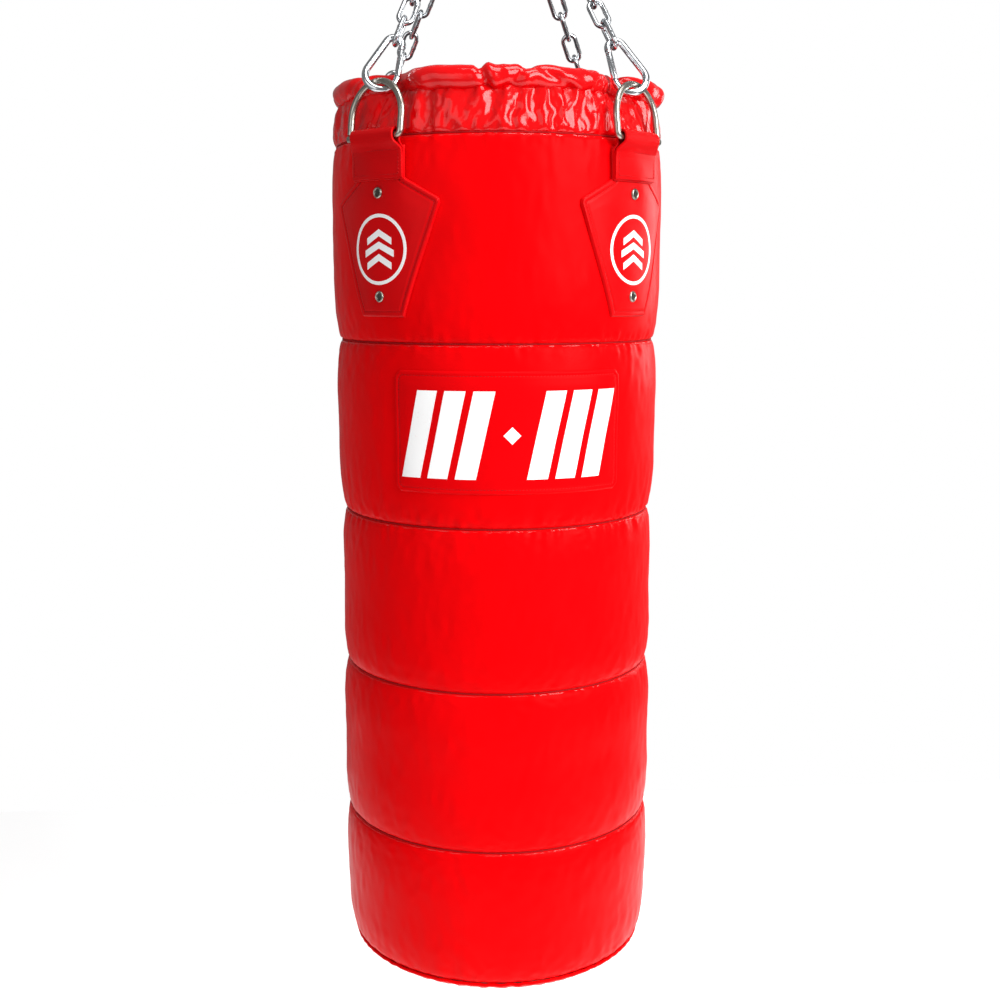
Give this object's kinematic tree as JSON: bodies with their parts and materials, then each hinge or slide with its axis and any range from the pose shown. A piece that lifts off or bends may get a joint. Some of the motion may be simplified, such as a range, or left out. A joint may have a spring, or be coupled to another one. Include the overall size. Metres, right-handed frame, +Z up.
{
  "type": "punching bag",
  "caption": "Cylindrical heavy bag in padded synthetic leather, hung from a swivel by chains with snap hooks, D-rings and riveted hanger patches, with a zipped lid.",
  "frame": {"origin": "inner top of the upper eye, where the supporting hook bears", "axes": "+Z up along the hanging line, -Y towards the front of the bag, where the label patch is"},
  "size_m": [0.3664, 0.3664, 1.435],
  "materials": {
    "red_leather": "gloss",
    "red_label": "gloss",
    "red_patch": "satin",
    "red_strap": "satin",
    "foam": "matte",
    "canvas": "matte",
    "filling": "matte",
    "lining": "matte",
    "zip_metal": "satin",
    "zinc": "gloss",
    "nickel": "satin",
    "steel": "satin"
  },
  "bodies": {
    "swivel_upper": {"swivel_upper_eye": "steel"},
    "swivel_lower": {"swivel_housing": "steel", "swivel_bearing": "zip_metal", "swivel_lower_eye": "steel"},
    "ring": {"suspension_ring": "steel"},
    "bag": {"stuffing_core": "filling", "inner_liner": "canvas", "foam_wrap": "foam", "cover_panel_1": "red_leather", "cover_panel_2": "red_leather", "cover_panel_3": "red_leather", "cover_panel_4": "red_leather", "cover_panel_5": "red_leather", "base_panel": "red_leather", "base_welt": "red_leather", "collar_band": "red_leather", "rim_roll": "red_leather", "top_lid": "lining", "zip_tape": "lining", "label_patch": "red_label", "hanger_patch_front_left": "red_patch", "hanger_strap_front_left": "red_strap", "rivet_upper_front_left": "nickel", "rivet_lower_front_left": "nickel", "d_ring_front_left": "nickel", "carabiner_body_front_left": "zinc", "carabiner_pin_front_left": "zinc", "chain_front_left": "zinc", "hanger_patch_front_right": "red_patch", "hanger_strap_front_right": "red_strap", "rivet_upper_front_right": "nickel", "rivet_lower_front_right": "nickel", "d_ring_front_right": "nickel", "carabiner_body_front_right": "zinc", "carabiner_pin_front_right": "zinc", "chain_front_right": "zinc", "hanger_patch_back_right": "red_patch", "hanger_strap_back_right": "red_strap", "rivet_upper_back_right": "nickel", "rivet_lower_back_right": "nickel", "d_ring_back_right": "nickel", "carabiner_body_back_right": "zinc", "carabiner_pin_back_right": "zinc", "chain_back_right": "zinc", "hanger_patch_back_left": "red_patch", "hanger_strap_back_left": "red_strap", "rivet_upper_back_left": "nickel", "rivet_lower_back_left": "nickel", "d_ring_back_left": "nickel", "carabiner_body_back_left": "zinc", "carabiner_pin_back_left": "zinc", "chain_back_left": "zinc"},
    "gate_front_left": {"carabiner_gate_front_left": "zinc"},
    "gate_front_right": {"carabiner_gate_front_right": "zinc"},
    "gate_back_right": {"carabiner_gate_back_right": "zinc"},
    "gate_back_left": {"carabiner_gate_back_left": "zinc"},
    "zip_slider": {"zip_slider": "zip_metal"},
    "zip_pull": {"zip_pull": "zip_metal"}
  },
  "joints": [
    {"name": "swivel_spin", "type": "hinge", "parent": "swivel_upper", "child": "swivel_lower", "pos_m": [0, 0, -0.06], "axis": [0, 0, 1], "continuous": true},
    {"name": "swing_side", "type": "hinge", "parent": "swivel_lower", "child": "ring", "pos_m": [0, 0, -0.1148], "axis": [0, 1, 0], "range_deg": [-35, 35]},
    {"name": "swing_fore_aft", "type": "hinge", "parent": "ring", "child": "bag", "pos_m": [0, 0, -0.16304], "axis": [1, 0, 0], "range_deg": [-35, 35]},
    {"name": "gate_front_left", "type": "hinge", "parent": "bag", "child": "gate_front_left", "pos_m": [-0.10666, -0.11505, -0.41215], "axis": [0, 0.9088, -0.4173], "range_deg": [0, 30], "stiffness_Nm_per_rad": 0.01, "springref_deg": -28.65},
    {"name": "gate_front_right", "type": "hinge", "parent": "bag", "child": "gate_front_right", "pos_m": [0.10666, -0.11505, -0.41215], "axis": [0, -0.9088, 0.4173], "range_deg": [0, 30], "stiffness_Nm_per_rad": 0.01, "springref_deg": -28.65},
    {"name": "gate_back_right", "type": "hinge", "parent": "bag", "child": "gate_back_right", "pos_m": [0.10574, 0.11518, -0.41277], "axis": [0, -0.9072, -0.4208], "range_deg": [0, 30], "stiffness_Nm_per_rad": 0.01, "springref_deg": -28.65},
    {"name": "gate_back_left", "type": "hinge", "parent": "bag", "child": "gate_back_left", "pos_m": [-0.10574, 0.11518, -0.41277], "axis": [0, 0.9072, 0.4208], "range_deg": [0, 30], "stiffness_Nm_per_rad": 0.01, "springref_deg": -28.65},
    {"name": "zip_slide", "type": "slide", "parent": "bag", "child": "zip_slider", "axis": [-1, 0, 0], "range_m": [0, 0.2]},
    {"name": "zip_pull_hinge", "type": "hinge", "parent": "zip_slider", "child": "zip_pull", "pos_m": [0.1, 0, -0.4544], "axis": [0, 1, 0], "range_deg": [0, 150]}
  ]
}
